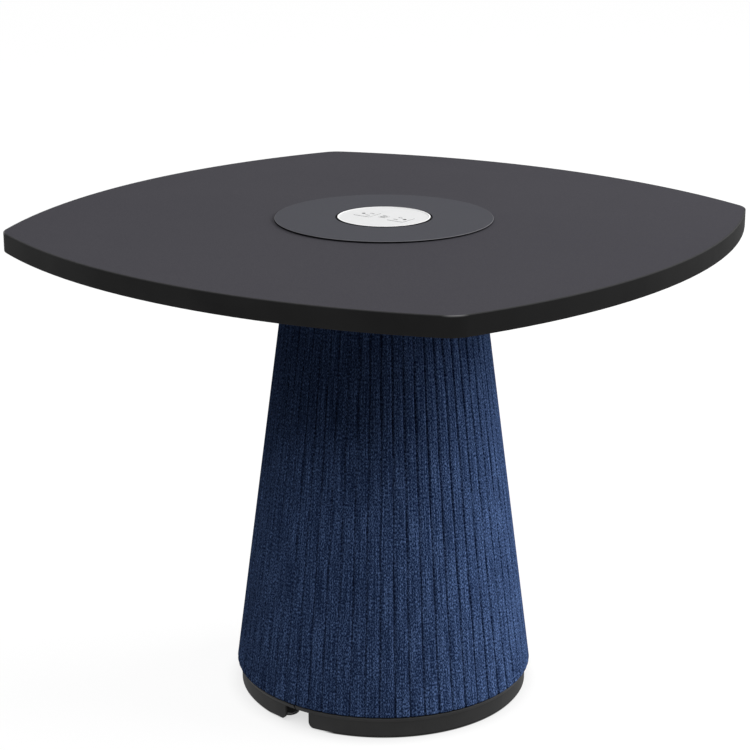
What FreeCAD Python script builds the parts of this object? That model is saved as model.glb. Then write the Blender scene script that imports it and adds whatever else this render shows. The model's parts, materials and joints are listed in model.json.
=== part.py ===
# Cafe table: a bowed square top on an upholstered cone, with a lift-off power cover in the middle.
# Millimetres. The origin is on the floor under the middle of the pedestal, +Z up.
# -Y faces the cable notch in the plinth, and the two power outlets lie along X.
import FreeCAD
import Part
import math
import os

from FreeCAD import Vector

# Whole table
top_height = 737.0             # floor to the upper face of the top
floor_gap = 3.0                # floor to the lower edge of the skirt
fit = 0.1                      # gap between pieces that are glued, pressed or screwed together
slack = 0.3                    # gap between pieces that slide past each other

# Top
top_flats = 968.6              # middle of one bowed side to the middle of the opposite side
side_bow_radius = 910.0
corner_radius = 42.0
top_thickness = 29.0
laminate_thickness = 0.8
edge_band_thickness = 2.0
edge_round = 1.4

# Cone of the pedestal
cone_foot_radius = 230.0       # fabric face at its lower edge
cone_head_radius = 140.4       # fabric face at the underside of the top
fabric_thickness = 3.0
fabric_backing = 1.2           # fabric left behind a groove
groove_count = 64              # grooves down the fabric, along the slope of the cone
groove_width = 3.2
groove_first_angle = -89.1
hem_round = 2.4
shell_thickness = 8.0
cone_head_gap = 0.5            # shell and fabric below the underside of the top
cone_foot_gap = 1.0            # shell and fabric above the plinth trim

# Plinth
skirt_height = 24.0
skirt_setback = 7.0            # skirt face behind the lower edge of the fabric
skirt_wall = 4.0
skirt_round = 1.5
trim_height = 8.0
trim_top_setback = 3.0         # trim lip behind the lower edge of the fabric
trim_bottom_setback = 6.6
trim_lip_round = 1.0
trim_joint_gap = 2.5           # butt joint of the bent trim strip, over the notch
notch_width = 43.5
notch_offset = 1.0             # middle of the notch beside the trim joint
notch_corner_radius = 10.0

# Lugs that hold the skirt under the base plate
lug_count = 4
lug_width = 24.0
lug_margin = 2.0               # lug past the head of its screw
lug_thickness = 4.0
lug_screw_diameter = 5.0
lug_screw_depth = 9.0          # screw length inside the base plate
lug_screw_head_diameter = 9.5
lug_screw_head_height = 2.7
lug_screw_inset = 8.0          # screw axis inside the edge of the base plate

# Base plate
plate_thickness = 12.0
plate_setback = 7.0            # plate edge behind the inner face of the skirt
plate_drop = 1.0               # upper face of the plate below the top of the trim
cable_hole_radius = 20.0
grommet_bore_radius = 15.0
grommet_lip_radius = 25.0
grommet_lip_height = 2.5

# Steel column
tube_wall = 4.0
flange_thickness = 8.0
foot_flange_width = 40.0
head_flange_setback = 3.0      # head flange edge behind the inner face of the shell
frame_bolt_count = 6
frame_bolt_diameter = 8.0
frame_bolt_head_diameter = 16.0
frame_bolt_sink = 0.5          # bolt head below the face that it is sunk into
frame_bolt_end_gap = 0.6       # bolt end short of the far face of the flange
frame_socket_flats = 5.0
frame_socket_depth = 2.6

# Plywood ribs inside the cone
rib_thickness = 18.0
foot_rib_width = 46.0
rib_screw_diameter = 5.0
rib_screw_head_diameter = 10.0
rib_screw_bite = 12.0          # screw length inside the plywood or steel that it holds
rib_socket_flats = 3.0
rib_socket_depth = 1.6
head_rib_screw_inset = 9.0     # screw axis inside the edge of the head flange

# Levelling glides
glide_count = 4
glide_first_angle = -101.2     # beside the notch, seen from above
glide_inset = 16.0             # glide axis inside the edge of the base plate
glide_travel = 12.0
glide_foot_radius = 16.4
glide_foot_round = 3.5
glide_foot_shoulder = 1.2
glide_stop_gap = 0.5           # foot below the plate when it is screwed right in
stud_diameter = 10.0
stud_ball_radius = 7.0
stud_ball_height = 10.0
stud_neck_gap = 0.6
stud_spare_length = 10.0       # stud left above its nut when the foot is right out
stud_slot_width = 1.6
stud_slot_depth = 2.0
nut_barrel_radius = 7.0
nut_flange_radius = 12.0
nut_flange_height = 2.0
nut_pocket_gap = 2.0

# Lift-off cover in the middle of the top
cover_radius = 162.2
cover_thickness = 1.8
cover_round = 0.6
cover_shadow_gap = 1.2         # cover above the top
cover_overhang = 20.0          # cover past the carrier ring under it
carrier_spigot_wall = 3.8
carrier_spigot_depth = 10.0
carrier_spigot_gap = 0.6       # spigot inside the hole of the top
tube_hole_step = 2.0           # column bore wider than the hole of the top

# Power unit
face_radius = 69.2
face_gap = 1.2                 # face inside the hole of the cover
face_proud = 0.2               # face above the cover
face_rim_width = 2.4
face_rim_rise = 0.5
case_setback = 6.2             # case behind the edge of the face
case_wall = 2.5
case_depth = 57.0
case_floor_thickness = 2.5
case_boss_radius = 4.2
case_boss_height = 12.0
case_screw_count = 4
case_screw_diameter = 3.0
case_screw_head_diameter = 6.0
case_screw_bite = 9.0
case_socket_flats = 2.0
case_socket_depth = 1.0
lock_ring_width = 9.6
lock_ring_height = 6.0
lock_ring_gap = 0.8            # lock ring inside the spigot of the carrier

# Outlets
outlet_offset = 30.5           # outlet centre from the table axis
outlet_width = 29.0            # along X
outlet_length = 31.5           # along Y
outlet_corner_radius = 2.5
outlet_edge_round = 0.3
outlet_rise = 0.4              # outlet face above the face plate
outlet_gap = 0.4               # outlet inside its window in the face plate
outlet_skin = 2.0
outlet_wall = 1.8
outlet_lip = 2.0               # ledge that stops the outlet under the face plate
outlet_depth = 14.0            # outlet body below the face plate
ground_hole_radius = 3.1
ground_hole_offset = 7.0       # ground hole outside the outlet centre
slot_to_ground = 11.9
slot_spacing = 12.7
slot_length = 7.9
slot_width = 2.2

# Shutters behind the outlet slots
shutter_thickness = 1.8
shutter_travel = 3.2
shutter_margin = 1.8           # shutter past the slots at its ends
shutter_window_gap = 0.3
shutter_spring_thickness = 0.3
shutter_spring_height = 1.4

# Contacts of the outlets
contact_height = 9.0
contact_blade_width = 8.0
contact_sheet = 0.7
contact_mouth = 1.6
ground_contact_radius = 3.6
ground_contact_wall = 0.8

# USB insert
usb_width = 14.0
usb_rise = 0.3
usb_lip = 2.0
usb_depth = 12.0
usb_corner_radius = 2.0
usb_port_width = 9.0
usb_port_height = 3.3
usb_port_spacing = 6.8
usb_port_depth = 7.0
usb_tongue_width = 6.6
usb_tongue_thickness = 0.8
usb_tongue_height = 5.5

# Charger board and lead inlet
board_length = 80.0
board_width = 64.0
board_thickness = 1.6
board_post_radius = 3.5
board_post_inset = 6.0
board_post_height = 16.0
board_screw_diameter = 3.0
board_screw_head_radius = 2.8
board_screw_head_height = 2.0
board_screw_bite = 8.0
board_transformer = (24.0, 20.0, 12.0)
board_transformer_place = (-20.0, 12.0)
board_capacitor_radius = 5.0
board_capacitor_height = 10.0
board_capacitor_spacing = 14.0
board_capacitor_place = (14.0, -16.0)
inlet_length = 27.0
inlet_width = 20.0
inlet_wall = 1.6
inlet_depth = 13.0             # inlet above the inner face of the case floor
inlet_lip = 2.0
inlet_lip_height = 1.5
inlet_pin = (2.0, 4.0, 11.0)
inlet_pin_spacing = 7.0
inlet_ground_pin_offset = 3.0

# Heights and radii that follow from the sizes above
top_face = top_height
top_underside = top_height - top_thickness
skirt_top = floor_gap + skirt_height
trim_top = skirt_top + trim_height
plate_top = trim_top - plate_drop
plate_underside = plate_top - plate_thickness
cone_foot = trim_top + cone_foot_gap
cone_head = top_underside - cone_head_gap
groove_depth = fabric_thickness - fabric_backing
skirt_radius = cone_foot_radius - skirt_setback
skirt_inner_radius = skirt_radius - skirt_wall
plate_radius = skirt_inner_radius - plate_setback
glide_circle = plate_radius - glide_inset
foot_height = plate_underside - glide_stop_gap
nut_top = plate_top + nut_flange_height
stud_top = nut_top + glide_travel + stud_spare_length
stud_radius = stud_diameter / 2
case_radius = face_radius - case_setback
lock_ring_radius = case_radius + fit + lock_ring_width
carrier_spigot_inner = lock_ring_radius + lock_ring_gap
carrier_spigot_outer = carrier_spigot_inner + carrier_spigot_wall
top_hole_radius = carrier_spigot_outer + carrier_spigot_gap
tube_inner_radius = top_hole_radius + tube_hole_step
tube_radius = tube_inner_radius + tube_wall
foot_flange_radius = tube_radius + foot_flange_width
carrier_top = top_face + cover_shadow_gap
cover_top = carrier_top + cover_thickness
face_top = cover_top + face_proud
case_top = carrier_top
case_floor_top = case_top - case_depth
case_floor_underside = case_floor_top - case_floor_thickness
outlet_top = face_top + outlet_rise
outlet_bottom = case_top - outlet_depth
shutter_top = outlet_top - outlet_skin - slack
shutter_underside = shutter_top - shutter_thickness
carrier_block_top = shutter_underside - slack
slot_offset = ground_hole_offset - slot_to_ground
usb_top = face_top + usb_rise
board_underside = case_floor_top + board_post_height


def cone_radius(height):
    share = (height - cone_foot) / (top_underside - cone_foot)
    return cone_foot_radius + (cone_head_radius - cone_foot_radius) * share


def shell_outer(height):
    return cone_radius(height) - fabric_thickness - fit


def shell_inner(height):
    return shell_outer(height) - shell_thickness


head_flange_radius = shell_inner(top_underside) - head_flange_setback
frame_bolt_circle = (tube_radius + head_flange_radius) / 2
foot_bolt_circle = (tube_radius + foot_flange_radius) / 2
head_rib_screw_circle = head_flange_radius - head_rib_screw_inset


# Plain shapes

def cylinder(radius, low, high, x=0.0, y=0.0):
    return Part.makeCylinder(radius, high - low, Vector(x, y, low))


def ring(inner, outer, low, high):
    return cylinder(outer, low, high).cut(cylinder(inner, low, high))


def block(length, width, low, high, x=0.0, y=0.0):
    corner = Vector(x - length / 2, y - width / 2, low)
    return Part.makeBox(length, width, high - low, corner)


def rounded_block(length, width, low, high, radius, x=0.0, y=0.0):
    solid = block(length, width, low, high, x, y)
    return solid.makeFillet(radius, upright_edges(solid))


def turned(points):
    path = [Vector(radius, 0, height) for radius, height in points]
    path.append(path[0])
    profile = Part.Face(Part.makePolygon(path))
    return profile.revolve(Vector(0, 0, 0), Vector(0, 0, 1), 360)


def hexagon_prism(flats, low, high):
    reach = flats / math.sqrt(3)
    corners = [Vector(reach * math.cos(math.radians(60 * k)), reach * math.sin(math.radians(60 * k)), low)
               for k in range(7)]
    return Part.Face(Part.makePolygon(corners)).extrude(Vector(0, 0, high - low))


# Choosing edges and keeping single solids

def upright_edges(solid):
    return [edge for edge in solid.Edges if abs(edge.tangentAt(edge.FirstParameter).z) > 0.99]


def edges_at(solid, height):
    level = [edge for edge in solid.Edges if abs(edge.BoundBox.ZMin - height) < 1e-6]
    return [edge for edge in level if abs(edge.BoundBox.ZMax - height) < 1e-6]


def single(shape):
    if len(shape.Solids) != 1:
        raise ValueError("expected one solid")
    return shape.Solids[0]


def cut_away(solid, tools):
    return single(solid.cut(tools))


def join(solid, others):
    return single(solid.fuse(others).removeSplitter())


# Placing copies

def moved(shape, x=0.0, y=0.0, z=0.0):
    copy = shape.copy()
    copy.translate(Vector(x, y, z))
    return copy


def turned_about_axis(shape, angle):
    copy = shape.copy()
    copy.rotate(Vector(0, 0, 0), Vector(0, 0, 1), angle)
    return copy


def upside_down(shape):
    copy = shape.copy()
    copy.rotate(Vector(0, 0, 0), Vector(1, 0, 0), 180)
    return copy


def around(shape, count, radius, first_angle, height=0.0):
    start = moved(shape, radius, 0, height)
    return [turned_about_axis(start, first_angle + 360 * k / count) for k in range(count)]


# Fasteners, with the upper face of the head at the origin and the shank down -Z

def sunk_screw(diameter, length, head_diameter, socket_flats, socket_depth):
    head_height = (head_diameter - diameter) / 2
    profile = [(0, 0), (head_diameter / 2, 0), (diameter / 2, -head_height), (diameter / 2, -length), (0, -length)]
    return cut_away(turned(profile), [hexagon_prism(socket_flats, -socket_depth, 0)])


def sunk_hole(diameter, length, head_diameter, sink):
    head_height = (head_diameter - diameter) / 2
    shank = diameter / 2 + fit
    mouth = head_diameter / 2 + fit
    profile = [(0, sink), (mouth, sink), (mouth, 0), (shank, -head_height), (shank, -length), (0, -length)]
    return turned(profile)


def pan_screw(diameter, length, head_radius, head_height):
    return join(cylinder(diameter / 2, -head_height - length, -head_height), [cylinder(head_radius, -head_height, 0)])


# Top

def top_outline(inset, height):
    bow_centre = side_bow_radius - top_flats / 2
    reach = side_bow_radius - corner_radius
    corner_centre = (math.sqrt(2 * reach ** 2 - bow_centre ** 2) - bow_centre) / 2
    half_turn = math.atan2(corner_centre, corner_centre + bow_centre)
    sides = []
    for quarter in range(4):
        facing = quarter * math.pi / 2
        bow = arc_points(-bow_centre, 0, side_bow_radius - inset, -half_turn, half_turn, facing, height)
        corner = arc_points(corner_centre, corner_centre, corner_radius - inset,
                            half_turn, math.pi / 2 - half_turn, facing, height)
        sides.append(Part.Arc(*bow).toShape())
        sides.append(Part.Arc(*corner).toShape())
    return Part.Wire(sides)


def arc_points(centre_x, centre_y, radius, start, end, facing, height):
    points = []
    for angle in (start, (start + end) / 2, end):
        x = centre_x + radius * math.cos(angle)
        y = centre_y + radius * math.sin(angle)
        points.append(Vector(x * math.cos(facing) - y * math.sin(facing),
                             x * math.sin(facing) + y * math.cos(facing), height))
    return points


def top_slab(inset, low, high):
    return Part.Face(top_outline(inset, low)).extrude(Vector(0, 0, high - low))


def top_bolt_length():
    return top_thickness - frame_bolt_sink + flange_thickness - frame_bolt_end_gap


def top_openings():
    hole = cylinder(top_hole_radius, top_underside, top_face)
    bolt = sunk_hole(frame_bolt_diameter, top_bolt_length(), frame_bolt_head_diameter, frame_bolt_sink)
    return [hole] + around(bolt, frame_bolt_count, frame_bolt_circle, 0, top_face - frame_bolt_sink)


def top_edge_band():
    slab = top_slab(0, top_underside, top_face)
    slab = slab.makeFillet(edge_round, edges_at(slab, top_face) + edges_at(slab, top_underside))
    return cut_away(slab, [top_slab(edge_band_thickness, top_underside, top_face)])


def top_layer(low, high):
    return cut_away(top_slab(edge_band_thickness + fit, low, high), top_openings())


def top_bolts():
    bolt = sunk_screw(frame_bolt_diameter, top_bolt_length(), frame_bolt_head_diameter,
                      frame_socket_flats, frame_socket_depth)
    return Part.makeCompound(around(bolt, frame_bolt_count, frame_bolt_circle, 0, top_face - frame_bolt_sink))


# Steel column and base plate

def column_tube():
    return ring(tube_inner_radius, tube_radius, plate_top, top_underside)


def head_rib_screw_length():
    return rib_screw_bite + flange_thickness / 2


def head_rib_screw_angle():
    return 180 / frame_bolt_count


def head_rib_screw_holes():
    hole = upside_down(sunk_hole(rib_screw_diameter, head_rib_screw_length(), rib_screw_head_diameter, rib_thickness))
    height = top_underside - flange_thickness - rib_screw_bite
    return around(hole, frame_bolt_count, head_rib_screw_circle, head_rib_screw_angle(), height)


def head_rib_screws():
    screw = upside_down(sunk_screw(rib_screw_diameter, head_rib_screw_length(), rib_screw_head_diameter,
                                   rib_socket_flats, rib_socket_depth))
    height = top_underside - flange_thickness - rib_screw_bite
    return Part.makeCompound(around(screw, frame_bolt_count, head_rib_screw_circle, head_rib_screw_angle(), height))


def head_flange():
    plate = ring(tube_radius + fit, head_flange_radius, top_underside - flange_thickness, top_underside)
    bolt = cylinder(frame_bolt_diameter / 2 + fit, -flange_thickness, 0)
    holes = around(bolt, frame_bolt_count, frame_bolt_circle, 0, top_underside)
    return cut_away(plate, holes + head_rib_screw_holes())


def column_bolt_length():
    return plate_thickness + flange_thickness - frame_bolt_sink - frame_bolt_end_gap


def column_bolt_holes():
    hole = upside_down(sunk_hole(frame_bolt_diameter, column_bolt_length() + frame_bolt_end_gap,
                                 frame_bolt_head_diameter, frame_bolt_sink))
    return around(hole, frame_bolt_count, foot_bolt_circle, 0, plate_underside + frame_bolt_sink)


def column_bolts():
    bolt = upside_down(sunk_screw(frame_bolt_diameter, column_bolt_length(), frame_bolt_head_diameter,
                                  frame_socket_flats, frame_socket_depth))
    return Part.makeCompound(around(bolt, frame_bolt_count, foot_bolt_circle, 0, plate_underside + frame_bolt_sink))


def foot_flange():
    plate = ring(tube_radius + fit, foot_flange_radius, plate_top, plate_top + flange_thickness)
    return cut_away(plate, column_bolt_holes())


def lug_angle():
    return glide_first_angle + 180 / glide_count


def foot_rib_screw_angle():
    return glide_first_angle + 90 / glide_count


def foot_rib_screw_holes():
    hole = upside_down(sunk_hole(rib_screw_diameter, plate_thickness + rib_screw_bite, rib_screw_head_diameter,
                                 frame_bolt_sink))
    return around(hole, 2 * glide_count, glide_circle, foot_rib_screw_angle(), plate_underside + frame_bolt_sink)


def foot_rib_screws():
    screw = upside_down(sunk_screw(rib_screw_diameter, plate_thickness + rib_screw_bite - frame_bolt_sink,
                                   rib_screw_head_diameter, rib_socket_flats, rib_socket_depth))
    height = plate_underside + frame_bolt_sink
    return Part.makeCompound(around(screw, 2 * glide_count, glide_circle, foot_rib_screw_angle(), height))


def base_plate():
    plate = cylinder(plate_radius, plate_underside, plate_top)
    cable_hole = cylinder(cable_hole_radius, plate_underside, plate_top)
    nut_hole = cylinder(nut_barrel_radius + fit, plate_underside, plate_top)
    nut_holes = around(nut_hole, glide_count, glide_circle, glide_first_angle)
    lug_hole = cylinder(lug_screw_diameter / 2 + fit, plate_underside, plate_underside + lug_screw_depth + slack)
    lug_holes = around(lug_hole, lug_count, lug_screw_circle(), lug_angle())
    return cut_away(plate, [cable_hole] + nut_holes + lug_holes + column_bolt_holes() + foot_rib_screw_holes())


def cable_grommet():
    lip_low = plate_underside - grommet_lip_height
    lip_high = plate_top + grommet_lip_height
    body = ring(grommet_bore_radius, cable_hole_radius - fit, lip_low, lip_high)
    lower_lip = ring(grommet_bore_radius, grommet_lip_radius, lip_low, plate_underside)
    upper_lip = ring(grommet_bore_radius, grommet_lip_radius, plate_top, lip_high)
    return join(body, [lower_lip, upper_lip])


# Plinth

def lug_screw_circle():
    return plate_radius - lug_screw_inset


def notch_tool():
    side = notch_width / 2
    flare = side + notch_corner_radius
    shoulder = floor_gap + notch_corner_radius
    middle = notch_corner_radius * math.sqrt(0.5)
    depth = -skirt_radius - skirt_wall

    def at(x, height):
        return Vector(notch_offset + x, depth, height)

    def corner(sign):
        between = at(sign * (flare - middle), shoulder - middle)
        return Part.Arc(at(sign * flare, floor_gap), between, at(sign * side, shoulder)).toShape()

    edges = [Part.makeLine(at(flare, floor_gap), at(-flare, floor_gap)), corner(-1),
             Part.makeLine(at(-side, shoulder), at(-side, skirt_top)),
             Part.makeLine(at(-side, skirt_top), at(side, skirt_top)),
             Part.makeLine(at(side, skirt_top), at(side, shoulder)), corner(1)]
    profile = Part.Face(Part.Wire(Part.__sortEdges__(edges)))
    return profile.extrude(Vector(0, skirt_radius / 2, 0))


def plinth_skirt():
    outside = cylinder(skirt_radius, floor_gap, skirt_top)
    outside = outside.makeFillet(skirt_round, edges_at(outside, floor_gap))
    wall = outside.cut(cylinder(skirt_inner_radius, floor_gap, skirt_top))
    lug_inner = lug_screw_circle() - lug_screw_head_diameter / 2 - lug_margin
    lug_outer = skirt_inner_radius + skirt_wall / 2
    lug = block(lug_outer - lug_inner, lug_width, plate_underside - lug_thickness, plate_underside,
                (lug_inner + lug_outer) / 2)
    wall = join(wall, around(lug, lug_count, 0, lug_angle()))
    hole = cylinder(lug_screw_diameter / 2 + slack, plate_underside - lug_thickness, plate_underside)
    return cut_away(wall, around(hole, lug_count, lug_screw_circle(), lug_angle()) + [notch_tool()])


def skirt_screws():
    screw = upside_down(pan_screw(lug_screw_diameter, lug_thickness + lug_screw_depth,
                                  lug_screw_head_diameter / 2, lug_screw_head_height))
    height = plate_underside - lug_thickness - lug_screw_head_height
    return Part.makeCompound(around(screw, lug_count, lug_screw_circle(), lug_angle(), height))


def plinth_trim():
    inner = plate_radius + slack
    lip = cone_foot_radius - trim_top_setback
    foot = cone_foot_radius - trim_bottom_setback
    lip_base = trim_top - 2 * trim_lip_round
    strip = turned([(inner, skirt_top), (foot, skirt_top), (lip, lip_base), (lip, trim_top), (inner, trim_top)])
    lip_edges = [edge for edge in edges_at(strip, trim_top) if edge.BoundBox.XMax > lip - trim_lip_round]
    strip = strip.makeFillet(trim_lip_round, lip_edges)
    joint = block(trim_joint_gap, 2 * trim_bottom_setback + skirt_wall + plate_setback, skirt_top, trim_top, 0, -lip)
    return cut_away(strip, [joint])


# Cone

def shell_panel():
    return turned([(shell_inner(cone_foot), cone_foot), (shell_outer(cone_foot), cone_foot),
                   (shell_outer(cone_head), cone_head), (shell_inner(cone_head), cone_head)])


def fabric_groove():
    low = cone_foot - groove_depth
    high = cone_head + groove_depth
    face = cone_radius(low)
    corners = [Vector(face - groove_depth, 0, low), Vector(face + groove_depth, groove_width, low),
               Vector(face + groove_depth, -groove_width, low)]
    wedge = Part.Face(Part.makePolygon(corners + corners[:1]))
    return wedge.extrude(Vector(cone_radius(high) - face, 0, high - low))


def fabric_cover():
    sleeve = turned([(shell_outer(cone_foot) + fit, cone_foot), (cone_radius(cone_foot), cone_foot),
                     (cone_radius(cone_head), cone_head), (shell_outer(cone_head) + fit, cone_head)])
    hem = [edge for edge in edges_at(sleeve, cone_foot) if edge.BoundBox.XMax > cone_foot_radius - fit]
    sleeve = sleeve.makeFillet(hem_round, hem)
    return cut_away(sleeve, around(fabric_groove(), groove_count, 0, groove_first_angle))


def foot_rib():
    step = cone_foot + slack
    rib_top = plate_top + rib_thickness
    inner = shell_inner(rib_top) - foot_rib_width
    rib = turned([(inner, plate_top), (plate_radius, plate_top), (plate_radius, step),
                  (shell_inner(step) - fit, step), (shell_inner(rib_top) - fit, rib_top), (inner, rib_top)])
    pocket = cylinder(nut_flange_radius + nut_pocket_gap, plate_top, rib_top)
    pockets = around(pocket, glide_count, glide_circle, glide_first_angle)
    return cut_away(rib, pockets + foot_rib_screw_holes())


def head_rib():
    rib_top = top_underside - flange_thickness
    rib_foot = rib_top - rib_thickness
    rib = turned([(tube_radius + fit, rib_foot), (shell_inner(rib_foot) - fit, rib_foot),
                  (shell_inner(rib_top) - fit, rib_top), (tube_radius + fit, rib_top)])
    return cut_away(rib, head_rib_screw_holes())


# Levelling glides

def glide_nuts():
    barrel = ring(stud_radius + fit, nut_barrel_radius, plate_underside, plate_top)
    flange = ring(stud_radius + fit, nut_flange_radius, plate_top, nut_top)
    return Part.makeCompound(around(join(barrel, [flange]), glide_count, glide_circle, glide_first_angle))


def glide_foot(angle):
    foot = cylinder(glide_foot_radius, 0, foot_height)
    foot = foot.makeFillet(glide_foot_round, edges_at(foot, 0))
    foot = foot.makeFillet(glide_foot_shoulder, edges_at(foot, foot_height))
    socket = Part.makeSphere(stud_ball_radius + fit, Vector(0, 0, stud_ball_height))
    neck = cylinder(stud_radius + stud_neck_gap, stud_ball_height, foot_height)
    return around(cut_away(foot, [socket, neck]), 1, glide_circle, angle)[0]


def glide_stud(angle):
    ball = Part.makeSphere(stud_ball_radius, Vector(0, 0, stud_ball_height))
    stud = join(cylinder(stud_radius, stud_ball_height, stud_top), [ball])
    slot = block(stud_diameter, stud_slot_width, stud_top - stud_slot_depth, stud_top)
    return around(cut_away(stud, [slot]), 1, glide_circle, angle)[0]


# Lift-off cover

def cover_disc():
    disc = cylinder(cover_radius, carrier_top, cover_top)
    disc = disc.makeFillet(cover_round, edges_at(disc, cover_top))
    return cut_away(disc, [cylinder(face_radius + face_gap, carrier_top, cover_top)])


def cover_carrier():
    seat = ring(case_radius + slack, cover_radius - cover_overhang, top_face, carrier_top)
    spigot = ring(carrier_spigot_inner, carrier_spigot_outer, top_face - carrier_spigot_depth, top_face)
    return join(seat, [spigot])


def lock_ring():
    return ring(case_radius + fit, lock_ring_radius, top_face - lock_ring_height, top_face)


# Power unit

def both_outlets(shape):
    right = moved(shape, outlet_offset)
    return {"left": turned_about_axis(right, 180), "right": right}


def power_face():
    rim_inner = face_radius - face_rim_width
    rim_top = face_top + face_rim_rise
    plate = turned([(0, case_top), (face_radius, case_top), (face_radius, rim_top), (rim_inner, rim_top),
                    (rim_inner - face_rim_rise, face_top), (0, face_top)])
    rim_edges = [edge for edge in edges_at(plate, rim_top) if edge.BoundBox.XMax > face_radius - fit]
    plate = plate.makeFillet(face_rim_rise, rim_edges)
    window = rounded_block(outlet_width + 2 * outlet_gap, outlet_length + 2 * outlet_gap, case_top, face_top,
                           outlet_corner_radius + outlet_gap)
    usb_window = rounded_block(usb_width + 2 * fit, usb_width + 2 * fit, case_top, face_top, usb_corner_radius)
    return cut_away(plate, list(both_outlets(window).values()) + [usb_window])


def slot_places():
    return [(slot_offset, slot_spacing / 2), (slot_offset, -slot_spacing / 2)]


def outlet_shell():
    head = rounded_block(outlet_width, outlet_length, case_top, outlet_top, outlet_corner_radius)
    head = head.makeFillet(outlet_edge_round, edges_at(head, outlet_top))
    body = block(outlet_width + 2 * outlet_lip, outlet_length + 2 * outlet_lip, outlet_bottom, case_top)
    shell = join(head, [body])
    hollow = block(outlet_width - 2 * outlet_wall, outlet_length - 2 * outlet_wall,
                   outlet_bottom, outlet_top - outlet_skin)
    slots = [block(slot_length, slot_width, outlet_bottom, outlet_top, x, y) for x, y in slot_places()]
    ground_hole = cylinder(ground_hole_radius, outlet_bottom, outlet_top, ground_hole_offset)
    return cut_away(shell, [hollow, ground_hole] + slots)


def shutter_reach():
    return slot_spacing / 2 + slot_width / 2 + shutter_margin


def outlet_shutter():
    width = slot_length + 2 * shutter_margin
    length = 2 * shutter_reach() + shutter_travel
    plate = block(width, length, shutter_underside, shutter_top, slot_offset, -shutter_travel / 2)
    windows = [block(slot_length + 2 * shutter_window_gap, slot_width + 2 * shutter_window_gap,
                     shutter_underside, shutter_top, x, y - shutter_travel) for x, y in slot_places()]
    return cut_away(plate, windows)


def shutter_spring():
    foot = shutter_reach() + slack
    crown = outlet_length / 2 - outlet_wall - slack
    half_span = slot_length / 2
    low = (shutter_top + shutter_underside - shutter_spring_height) / 2

    def bow(offset):
        ends = (Vector(slot_offset - half_span, foot + offset, low), Vector(slot_offset + half_span, foot + offset, low))
        middle = Vector(slot_offset, crown - shutter_spring_thickness + offset, low)
        return Part.Arc(ends[0], middle, ends[1]).toShape()

    outer = bow(shutter_spring_thickness)
    inner = bow(0)
    ends = [Part.makeLine(inner.Vertexes[k].Point, outer.Vertexes[k].Point) for k in range(2)]
    leaf = Part.Face(Part.Wire(Part.__sortEdges__([outer, inner] + ends)))
    return leaf.extrude(Vector(0, 0, shutter_spring_height))


def blade_pocket_size():
    return contact_blade_width + 2 * slack, contact_mouth + 2 * contact_sheet + 2 * slack


def contact_floor():
    return carrier_block_top - contact_height


def outlet_core():
    core = block(outlet_width - 2 * outlet_wall - 2 * fit, outlet_length - 2 * outlet_wall - 2 * fit,
                 outlet_bottom, carrier_block_top)
    length, width = blade_pocket_size()
    pockets = [block(length, width, contact_floor(), carrier_block_top, x, y) for x, y in slot_places()]
    ground_pocket = cylinder(ground_contact_radius + slack, contact_floor(), carrier_block_top, ground_hole_offset)
    return cut_away(core, pockets + [ground_pocket])


def outlet_contacts():
    solids = []
    for x, y in slot_places():
        clip = block(contact_blade_width, contact_mouth + 2 * contact_sheet, contact_floor(), carrier_block_top, x, y)
        mouth = block(contact_blade_width, contact_mouth, contact_floor() + contact_sheet, carrier_block_top, x, y)
        solids.append(cut_away(clip, [mouth]))
    sleeve = ring(ground_contact_radius - ground_contact_wall, ground_contact_radius, contact_floor(),
                  carrier_block_top)
    solids.append(moved(sleeve, ground_hole_offset))
    return Part.makeCompound(solids)


def usb_port_places():
    return [-usb_port_spacing / 2, usb_port_spacing / 2]


def usb_insert():
    head = rounded_block(usb_width, usb_width, case_top, usb_top, usb_corner_radius)
    body = block(usb_width + 2 * usb_lip, usb_width + 2 * usb_lip, case_top - usb_depth, case_top)
    port_floor = usb_top - usb_port_depth
    ports = [rounded_block(usb_port_width, usb_port_height, port_floor, usb_top, usb_port_height / 2 - fit, 0, y)
             for y in usb_port_places()]
    return cut_away(join(head, [body]), ports)


def usb_tongues():
    floor = usb_top - usb_port_depth
    return Part.makeCompound([block(usb_tongue_width, usb_tongue_thickness, floor, floor + usb_tongue_height, 0, y)
                              for y in usb_port_places()])


def case_boss_circle():
    return case_radius - case_wall - case_boss_radius + fit


def case_screw_holes():
    hole = upside_down(sunk_hole(case_screw_diameter, case_floor_thickness + case_screw_bite + slack,
                                 case_screw_head_diameter, frame_bolt_sink))
    return around(hole, case_screw_count, case_boss_circle(), 180 / case_screw_count, case_floor_underside)


def case_screws():
    screw = upside_down(sunk_screw(case_screw_diameter, case_floor_thickness + case_screw_bite,
                                   case_screw_head_diameter, case_socket_flats, case_socket_depth))
    return Part.makeCompound(around(screw, case_screw_count, case_boss_circle(), 180 / case_screw_count,
                                    case_floor_underside))


def power_case():
    wall = ring(case_radius - case_wall, case_radius, case_floor_top, case_top)
    boss = cylinder(case_boss_radius, case_floor_top, case_floor_top + case_boss_height)
    wall = join(wall, around(boss, case_screw_count, case_boss_circle(), 180 / case_screw_count))
    return cut_away(wall, case_screw_holes())


def board_post_places():
    x = board_length / 2 - board_post_inset
    y = board_width / 2 - board_post_inset
    return [(x, y), (-x, y), (-x, -y), (x, -y)]


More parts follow.
